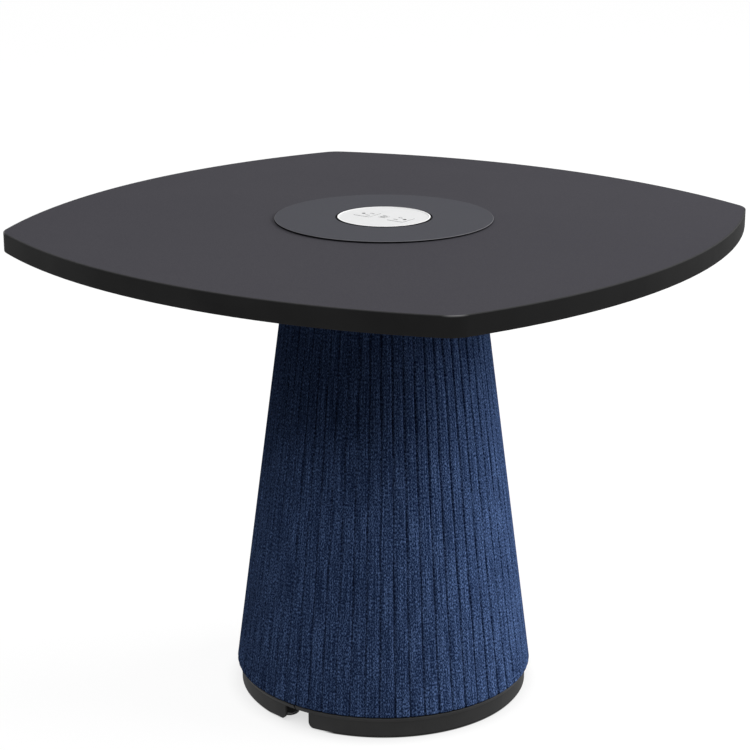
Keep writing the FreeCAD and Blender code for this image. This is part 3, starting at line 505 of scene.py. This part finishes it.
def fibreboardFinish():
    look = boardLook
    material, tree, shader, place = startMaterial("fibreboard", **look["fixed"])
    chips = useEffect(tree, "mottle", place, look["chips"])["Mask"]
    colour = mixColours(tree, chips, opaque(look["fibre"]), opaque(look["fibreDark"]))
    link(tree, colour, shader.inputs["Base Color"])
    addBump(tree, shader, chips, look["chipDepth"])
    return material


circuitLook = {"mask": (0.018, 0.13, 0.06), "track": (0.035, 0.2, 0.095), "pad": (0.55, 0.5, 0.36),
               "trackScale": 130.0, "trackWidth": 0.06, "padRadius": 0.16, "padDepth": 0.00006,
               "fixed": {"Roughness": 0.35}}


def circuitFinish():
    look = circuitLook
    material, tree, shader, place = startMaterial("circuit_board", **look["fixed"])
    mask = opaque(look["mask"])
    tracks = addNode(tree, "ShaderNodeTexBrick", {
        "Scale": look["trackScale"], "Mortar Size": look["trackWidth"], "Color1": mask, "Color2": mask,
        "Mortar": opaque(look["track"])})
    link(tree, place, tracks.inputs["Vector"])
    spots = addNode(tree, "ShaderNodeTexVoronoi", {"Scale": look["trackScale"]})
    link(tree, place, spots.inputs["Vector"])
    pads = mathNode(tree, "LESS_THAN", spots.outputs["Distance"], look["padRadius"])
    colour = mixColours(tree, pads, tracks.outputs["Color"], opaque(look["pad"]))
    link(tree, colour, shader.inputs["Base Color"])
    addBump(tree, shader, pads, look["padDepth"])
    return material


# Cloth on the cone: ribs sewn down in straight grooves, with a rolled hem

clothCover = {
    "footRadius": 0.230, "headRadius": 0.1405, "thickness": 0.003,
    "grooves": 64, "firstGroove": -89.1, "grooveDepth": 0.0015, "grooveReach": 0.0023,
    "grooveSteps": (-1.5, -1.0, -0.72, -0.46, -0.22, 0.0, 0.22, 0.46, 0.72, 1.0, 1.5),   # in groove reaches
    "ribSteps": (0.25, 0.5, 0.75), "ribCrown": 0.0005,
    "waves": ((0.6, 7.1, 5.3), (0.4, 2.3, 13.7)),          # share, step by groove, rate by height
    "wander": 0.0005, "wanderRate": 4, "depthChange": 0.25, "shallower": 0.25,
    "slowChange": {"step": 1, "start": 31, "rate": 3}, "quickChange": {"step": 3, "start": 17, "rate": 11},
    "rows": 104, "hemRound": 0.0026, "hemSteps": 6}

clothLook = {
    "fixed": {"Roughness": 0.95, "Specular_IOR_Level": 0.01, "Sheen_Weight": 0.015, "Sheen_Roughness": 0.45,
              "Sheen_Tint": (0.55, 0.66, 0.9, 1.0)},
    "deep": (0.0105, 0.022, 0.065), "pale": (0.192, 0.317, 0.655),
    "streaks": {"Stretch": (1.0, 0.026, 1.0), "Scale": 430.0, "Spread": 0.22}, "streakShare": 0.37,
    "flecks": {"Stretch": (1.1, 0.4, 1.0), "Scale": 720.0, "Spread": 0.14}, "fleckShare": 0.63,
    "napLow": 0.2, "napHigh": 0.85, "fibreBend": 2.4,
    "ribTone": {"Stretch": (1.0, 0.05, 1.0), "Scale": 90.0, "Spread": 0.2}, "ribShare": 0.14,
    "clouds": {"Scale": 14.0, "Spread": 0.3}, "cloud": (0.02, 0.04, 0.116), "cloudShare": 0.14,
    "grooveShade": (0.0065, 0.012, 0.036), "grooveShare": 0.95,
    "crossLow": 0.25, "crossHigh": 0.8, "crossedShare": 0.28,
    "hem": {"High": clothFoot + 0.0022, "Soft": 0.0012}, "hemShade": (0.0015, 0.0025, 0.006),
    "napDepth": 0.0005, "napStrength": 0.7}


def ribDrift(number, height):
    # slow change along one groove, from -1 to 1
    waves = clothCover["waves"]
    return sum(share * math.sin(step * number + rate * height) for share, step, rate in waves)


def clothProfile():
    # rows from the inside of the hem, round it and up to the head: height and inset from the cone's face
    spec = clothCover
    rows = [(clothFoot, spec["thickness"])]
    for step in range(spec["hemSteps"] + 1):
        turn = math.pi / 2 * step / spec["hemSteps"]
        rise = spec["hemRound"] * (1 - math.cos(turn))
        rows.append((clothFoot + rise, spec["hemRound"] * (1 - math.sin(turn))))
    start = clothFoot + spec["hemRound"]
    for step in range(1, spec["rows"] + 1):
        rows.append((start + (clothHead - start) * step / spec["rows"], 0.0))
    rows.append((clothHead, spec["thickness"]))
    return rows


def grooveDepthAt(number, height):
    spec = clothCover
    change = -spec["shallower"]
    for wave in (spec["slowChange"], spec["quickChange"]):
        change += ribDrift(number * wave["step"] + wave["start"], height * wave["rate"])
    return spec["grooveDepth"] * (1 + spec["depthChange"] * change)


def clothRow(height, inset):
    # once round the cone: points, their depths in a groove and their turns from the first groove
    spec = clothCover
    grooveReach = spec["grooveReach"]
    share = (height - clothFoot) / (clothHead - clothFoot)
    radius = spec["footRadius"] + (spec["headRadius"] - spec["footRadius"]) * share
    pitch = 2 * math.pi * radius / spec["grooves"]
    outer = 1.0 - min(1.0, inset / spec["thickness"])
    level = height * spec["wanderRate"]
    drifts = [spec["wander"] * ribDrift(number, level) for number in range(spec["grooves"])]
    points, depths, turns = [], [], []
    for number, drift in enumerate(drifts):
        nextDrift = drifts[(number + 1) % spec["grooves"]]
        deep = grooveDepthAt(number, height)
        last = drift + spec["grooveSteps"][-1] * grooveReach
        first = pitch + nextDrift + spec["grooveSteps"][0] * grooveReach
        places = [(drift + step * grooveReach, min(1.0, abs(step))) for step in spec["grooveSteps"]]
        places += [(last + (first - last) * step, 1.0) for step in spec["ribSteps"]]
        for along, across in places:
            dip = 0.5 * (1 + math.cos(math.pi * across))
            ribShare = (along - drift) / pitch % 1.0
            crown = spec["ribCrown"] * (2 * ribShare - 1) ** 2
            reach = radius - inset - outer * (deep * dip + crown)
            turn = (number * pitch + along) / radius
            angle = math.radians(spec["firstGroove"]) + turn
            points.append((reach * math.cos(angle), reach * math.sin(angle), height))
            depths.append(outer * dip * deep / spec["grooveDepth"])
            turns.append(turn)
    return points, depths, turns


def clothMesh():
    spec = clothCover
    rows = clothProfile()
    points, depths, turns = [], [], []
    for height, inset in rows:
        for whole, part in zip((points, depths, turns), clothRow(height, inset)):
            whole.extend(part)
    count = len(points) // len(rows)
    faces = []
    for row in range(len(rows)):
        start = row * count
        above = (row + 1) % len(rows) * count              # the last row closes onto the first
        for column in range(count):
            beside = (column + 1) % count
            faces.append((start + column, start + beside, above + beside, above + column))
    mesh = bpy.data.meshes.new("cloth_cover")
    mesh.from_pydata(points, [], faces)
    mesh.update()
    mesh.shade_smooth()
    groove = mesh.attributes.new("grooveDepth", "FLOAT", "POINT")
    groove.data.foreach_set("value", depths)
    middle = (spec["footRadius"] + spec["headRadius"]) / 2
    layout = mesh.uv_layers.new(name="clothMap")           # metres round the cone and up it
    for face in mesh.polygons:
        for corner, vertex in zip(face.loop_indices, face.vertices):
            wrapped = vertex % count == 0 and any(other % count == count - 1 for other in face.vertices)
            turn = turns[vertex] + (2 * math.pi if wrapped else 0.0)
            layout.data[corner].uv = (turn * middle, points[vertex][2])
    return mesh


def makeClothCover():
    mesh = clothMesh()
    mesh.materials.append(finishes["navy_fabric"])
    cover = bpy.data.objects.new("cloth_cover", mesh)
    scene.collection.objects.link(cover)
    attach(cover, "frame")
    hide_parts("fabric_cover")


def clothFinish():
    look = clothLook
    material, tree, shader, place = startMaterial("navy_fabric", **look["fixed"])
    layout = addNode(tree, "ShaderNodeUVMap", uv_map="clothMap").outputs["UV"]
    streaks = useEffect(tree, "streaks", layout, look["streaks"])["Mask"]
    flecks = useEffect(tree, "streaks", layout, look["flecks"])["Mask"]
    ribTone = useEffect(tree, "streaks", layout, look["ribTone"])["Mask"]
    clouds = useEffect(tree, "mottle", layout, look["clouds"])["Mask"]
    nap = mathNode(tree, "ADD", mathNode(tree, "MULTIPLY", flecks, look["fleckShare"]),
                   mathNode(tree, "MULTIPLY", streaks, look["streakShare"]))
    fibres = mathNode(tree, "POWER", rescale(tree, nap, look["napLow"], look["napHigh"]), look["fibreBend"])
    ribLight = rescale(tree, ribTone, 0.0, 1.0, 1.0 - look["ribShare"], 1.0)
    fibres = mathNode(tree, "MULTIPLY", fibres, ribLight)
    colour = mixColours(tree, fibres, opaque(look["deep"]), opaque(look["pale"]))
    clouded = mathNode(tree, "MULTIPLY", clouds, look["cloudShare"])
    colour = mixColours(tree, clouded, colour, opaque(look["cloud"]))
    # painted shade along each groove, broken where fibres cross it
    groove = addNode(tree, "ShaderNodeAttribute", attribute_name="grooveDepth").outputs["Fac"]
    uncrossed = rescale(tree, nap, look["crossLow"], look["crossHigh"], 1.0, look["crossedShare"])
    line = mathNode(tree, "MULTIPLY", mathNode(tree, "MULTIPLY", groove, uncrossed), look["grooveShare"])
    colour = mixColours(tree, line, colour, opaque(look["grooveShade"]))
    # painted shade along the rolled hem
    hem = useEffect(tree, "zone", place, look["hem"])["Mask"]
    colour = mixColours(tree, hem, colour, opaque(look["hemShade"]))
    link(tree, colour, shader.inputs["Base Color"])
    addBump(tree, shader, nap, look["napDepth"], look["napStrength"])
    return material


# One finish for each slot of the record

finishes = {
    "black_laminate": sprayedFinish("black_laminate", topLook),
    "black_edge": sprayedFinish("black_edge", edgeLook),
    "backer_laminate": sprayedFinish("backer_laminate", backerLook),
    "cover_black": sprayedFinish("cover_black", coverLook),
    "plinth_black": sprayedFinish("plinth_black", plinthLook),
    "glide_black": sprayedFinish("glide_black", glideLook),
    "black_steel": sprayedFinish("black_steel", steelPaintLook),
    "black_rubber": sprayedFinish("black_rubber", rubberLook),
    "white_plastic": sprayedFinish("white_plastic", faceLook),
    "black_plastic": sprayedFinish("black_plastic", caseLook),
    "zinc_steel": bareMetal("zinc_steel", zincLook),
    "spring_steel": bareMetal("spring_steel", springLook),
    "contact_brass": bareMetal("contact_brass", brassLook),
    "plywood": plywoodFinish(),
    "fibreboard": fibreboardFinish(),
    "green_board": circuitFinish(),
    "navy_fabric": clothFinish()}

for subpart in frame["record"]["subparts"]:
    piece = frame["nodes"][subpart["node"]]
    finish = finishes[subpart["material_slot"]]
    if piece.material_slots:
        for slot in piece.material_slots:
            slot.material = finish
    else:
        piece.data.materials.append(finish)

makeClothCover()


# Leaf springs behind the shutters: bowed strips

leafSpring = {"thickness": 0.0003, "steps": 28, "corners": 4, "pressedShare": 0.21}


def makeLeafSpring(side):
    spec = leafSpring
    low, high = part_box("shutter_spring_" + side)
    # the crown lies against the outlet's wall
    crown, foot = (low.y, high.y) if side == "left" else (high.y, low.y)
    middle, half, rise = (low.x + high.x) / 2, (high.x - low.x) / 2, crown - foot
    innerRise = rise - math.copysign(spec["thickness"], rise)
    corners = spec["corners"]                              # of the strip's section
    points, faces = [], []
    for step in range(spec["steps"] + 1):
        turn = math.pi * step / spec["steps"]
        outer = (middle + half * math.cos(turn), foot + rise * math.sin(turn))
        inner = (middle + (half - spec["thickness"]) * math.cos(turn), foot + innerRise * math.sin(turn))
        points += [(*outer, low.z), (*outer, high.z), (*inner, high.z), (*inner, low.z)]
    for step in range(spec["steps"]):
        start, following = corners * step, corners * (step + 1)
        for corner in range(corners):
            beside = (corner + 1) % corners
            faces.append((start + corner, start + beside, following + beside, following + corner))
    faces.append(tuple(reversed(range(corners))))
    faces.append(tuple(corners * spec["steps"] + corner for corner in range(corners)))
    if side == "right":
        faces = [tuple(reversed(face)) for face in faces]
    mesh = bpy.data.meshes.new("leaf_spring_" + side)
    mesh.from_pydata(points, [], faces)
    mesh.materials.append(finishes["spring_steel"])
    leaf = bpy.data.objects.new("leaf_spring_" + side, mesh)
    scene.collection.objects.link(leaf)
    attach(leaf, "cover")
    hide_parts("shutter_spring_" + side)
    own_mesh(leaf)


for side in ("left", "right"):
    makeLeafSpring(side)
print("leaf springs made")


# Floor, light and camera

studio = {
    "floorSize": 60.0, "floorColour": (0.2, 0.2, 0.205, 1.0), "floorShade": (0.13, 0.13, 0.13, 1.0),
    "floorGlow": 0.92, "contactReach": 0.06, "contactOpen": 0.75, "contactShade": 0.34,
    "underSkirt": {"Outer": skirtEdge - 0.0028, "Soft": 0.001}, "byNotch": {"Across": 0.06, "Soft": 0.015},
    "underShare": 0.03, "domeLight": 0.89, "domeLow": 0.32, "domeHigh": 0.9}

# turn from the cable notch towards the right and rise, in degrees, then metres and watts
lamps = {
    "key_box": {"turn": 133.0, "rise": 28.0, "away": 6.0, "aim": 0.42, "size": (4.6, 3.5), "power": 390.0,
                "mirrored": False},
    "front_box": {"turn": 32.0, "rise": 41.0, "away": 3.5, "aim": 0.35, "size": (0.8, 0.8), "power": 20.0,
                  "mirrored": True}}

cameraPlace = {"turn": 35.918, "away": 2.8699, "height": 1.36585, "yaw": -0.265, "pitch": 16.8753,
               "lens": 94.96, "sensor": 36.0}


def aroundAxis(turn, away, height):
    angle = math.radians(turn)
    return Vector((away * math.sin(angle), -away * math.cos(angle), height))


def backgroundRays(tree):
    # rays that see the white surroundings: from the camera, from gloss and through glass
    rays = addNode(tree, "ShaderNodeLightPath").outputs
    seen = mathNode(tree, "ADD", rays["Is Camera Ray"], rays["Is Glossy Ray"], clamp=True)
    return mathNode(tree, "ADD", seen, rays["Is Transmission Ray"], clamp=True)


def joinShaders(tree, share, first, second):
    joined = addNode(tree, "ShaderNodeMixShader")
    for source, target in zip((share, first.outputs[0], second.outputs[0]), joined.inputs):
        link(tree, source, target)
    return joined


def floorFinish():
    material = bpy.data.materials.new("studio_floor")
    material.use_nodes = True
    tree = material.node_tree
    tree.nodes.clear()
    bounce = addNode(tree, "ShaderNodeBsdfDiffuse", {"Color": studio["floorColour"]})
    shadow = addNode(tree, "ShaderNodeBsdfDiffuse", {"Color": studio["floorShade"]})
    glow = addNode(tree, "ShaderNodeEmission")
    # painted contact shadow: the floor's glow is darkened where ambient occlusion finds the object near
    contact = addNode(tree, "ShaderNodeAmbientOcclusion", {"Distance": studio["contactReach"]}, samples=16)
    lowGlow = studio["floorGlow"] * (1 - studio["contactShade"])
    around = rescale(tree, contact.outputs["AO"], 0.0, studio["contactOpen"], lowGlow, studio["floorGlow"])
    spot = addNode(tree, "ShaderNodeNewGeometry").outputs
    under = useEffect(tree, "zone", spot["Position"], studio["underSkirt"])["Mask"]
    notch = useEffect(tree, "zone", spot["Position"], studio["byNotch"])["Mask"]
    under = mathNode(tree, "MULTIPLY", under, mathNode(tree, "SUBTRACT", 1.0, notch))
    left = rescale(tree, under, 0.0, 1.0, 1.0, studio["underShare"])   # hardly any light below the skirt
    link(tree, mathNode(tree, "MULTIPLY", around, left), glow.inputs["Color"])
    shown = addNode(tree, "ShaderNodeAddShader")
    link(tree, shadow.outputs[0], shown.inputs[0])
    link(tree, glow.outputs[0], shown.inputs[1])
    above = joinShaders(tree, backgroundRays(tree), bounce, shown)
    clear = addNode(tree, "ShaderNodeBsdfTransparent")
    whole = joinShaders(tree, spot["Backfacing"], above, clear)        # seen from below, the floor is clear
    link(tree, whole.outputs[0], addNode(tree, "ShaderNodeOutputMaterial").inputs["Surface"])
    return material


def makeFloor():
    half = studio["floorSize"] / 2
    corners = [(-half, -half, 0), (half, -half, 0), (half, half, 0), (-half, half, 0)]
    mesh = bpy.data.meshes.new("floor")
    mesh.from_pydata(corners, [], [range(len(corners))])
    mesh.materials.append(floorFinish())
    floor = bpy.data.objects.new("floor", mesh)
    scene.collection.objects.link(floor)


def makeSky():
    world = bpy.data.worlds.new("studio")
    world.use_nodes = True
    tree = world.node_tree
    seen = backgroundRays(tree)
    facing = addNode(tree, "ShaderNodeSeparateXYZ")
    link(tree, addNode(tree, "ShaderNodeTexCoord").outputs["Generated"], facing.inputs[0])
    dome = rescale(tree, facing.outputs["Z"], studio["domeLow"], studio["domeHigh"],
                   0.0, studio["domeLight"])
    strength = addNode(tree, "ShaderNodeMix")
    link(tree, seen, strength.inputs["Factor"])
    link(tree, dome, strength.inputs["A"])
    strength.inputs["B"].default_value = 1.0
    link(tree, strength.outputs["Result"], tree.nodes["Background"].inputs["Strength"])
    tree.nodes["Background"].inputs["Color"].default_value = (1.0, 1.0, 1.0, 1.0)
    scene.world = world


def makeLamp(name, lamp):
    light = bpy.data.lights.new(name, "AREA")
    light.shape = "RECTANGLE"
    light.size, light.size_y = lamp["size"]
    light.energy = lamp["power"]
    source = bpy.data.objects.new(name, light)
    rise = math.radians(lamp["rise"])
    height = lamp["aim"] + lamp["away"] * math.sin(rise)
    source.location = aroundAxis(lamp["turn"], lamp["away"] * math.cos(rise), height)
    towards = Vector((0, 0, lamp["aim"])) - source.location
    source.rotation_euler = towards.to_track_quat("-Z", "Y").to_euler()
    source.visible_glossy = lamp["mirrored"]
    scene.collection.objects.link(source)


def makeCamera():
    spec = cameraPlace
    data = bpy.data.cameras.new("camera")
    data.lens = spec["lens"]
    data.sensor_width = spec["sensor"]
    camera = bpy.data.objects.new("camera", data)
    camera.location = aroundAxis(spec["turn"], spec["away"], spec["height"])
    heading = math.radians(spec["turn"] - spec["yaw"])
    pitch = math.radians(spec["pitch"])
    level = math.cos(pitch)
    ahead = Vector((-math.sin(heading) * level, math.cos(heading) * level, -math.sin(pitch)))
    camera.rotation_euler = ahead.to_track_quat("-Z", "Y").to_euler()
    scene.collection.objects.link(camera)
    scene.camera = camera


makeFloor()
makeSky()
for lampName, lampSpec in lamps.items():
    makeLamp(lampName, lampSpec)
makeCamera()
scene.view_settings.view_transform = "Standard"
print("studio set")
